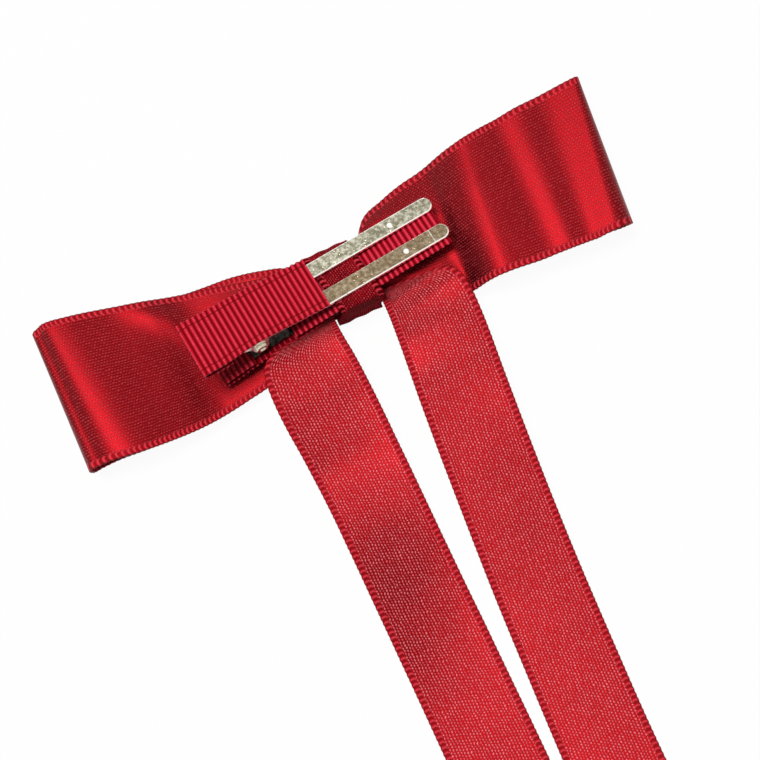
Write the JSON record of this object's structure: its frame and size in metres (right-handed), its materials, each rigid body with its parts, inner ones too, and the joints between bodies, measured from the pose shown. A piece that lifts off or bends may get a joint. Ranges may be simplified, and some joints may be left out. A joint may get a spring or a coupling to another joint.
{
  "type": "cheer hair bow",
  "caption": "Flat two-loop satin hair bow with a wrapped knot and long hanging tails, glued to a grosgrain-lined spring clip with two steel prongs.",
  "frame": {"origin": "middle of the knot's flat front face, on the plane that the bow lies on", "axes": "+Z from the front of the bow to the clip, +X along the bow to the side that the clip's prongs point to, -Y down the hanging tails"},
  "size_m": [0.1012, 0.2145, 0.0144],
  "materials": {
    "loop_satin": "polyester satin ribbon, deep red",
    "tail_satin": "polyester satin ribbon, deep red",
    "band_satin": "polyester satin ribbon, deep red",
    "cover_grosgrain": "ribbed grosgrain ribbon, red",
    "lining_grosgrain": "ribbed grosgrain ribbon, red",
    "base_grosgrain": "ribbed grosgrain ribbon, red",
    "thread": "polyester thread, red",
    "glue": "translucent hot-melt glue",
    "base_steel": "nickel-plated steel",
    "prong_steel": "nickel-plated steel",
    "pin_steel": "nickel-plated steel",
    "spring_steel": "plated spring wire"
  },
  "bodies": {
    "bow": {"bow_loops": "loop_satin", "gather_thread": "thread", "tail_ribbon": "tail_satin", "centre_band": "band_satin", "glue_pad": "glue", "base_jaw": "base_steel", "base_lining": "lining_grosgrain", "base_cover": "base_grosgrain", "hinge_pin": "pin_steel", "torsion_spring": "spring_steel"},
    "moving_jaw": {"prong_jaw": "prong_steel", "lever_cover": "cover_grosgrain"}
  },
  "joints": [
    {"name": "jaw_hinge", "type": "hinge", "parent": "bow", "child": "moving_jaw", "pos_m": [-0.0166, -0.0017, 0.00895], "axis": [0.1191, -0.9843, 0.1305], "range_deg": [0, 28], "stiffness_Nm_per_rad": 0.01, "springref_deg": -68.75, "deforming": ["torsion_spring"]}
  ]
}
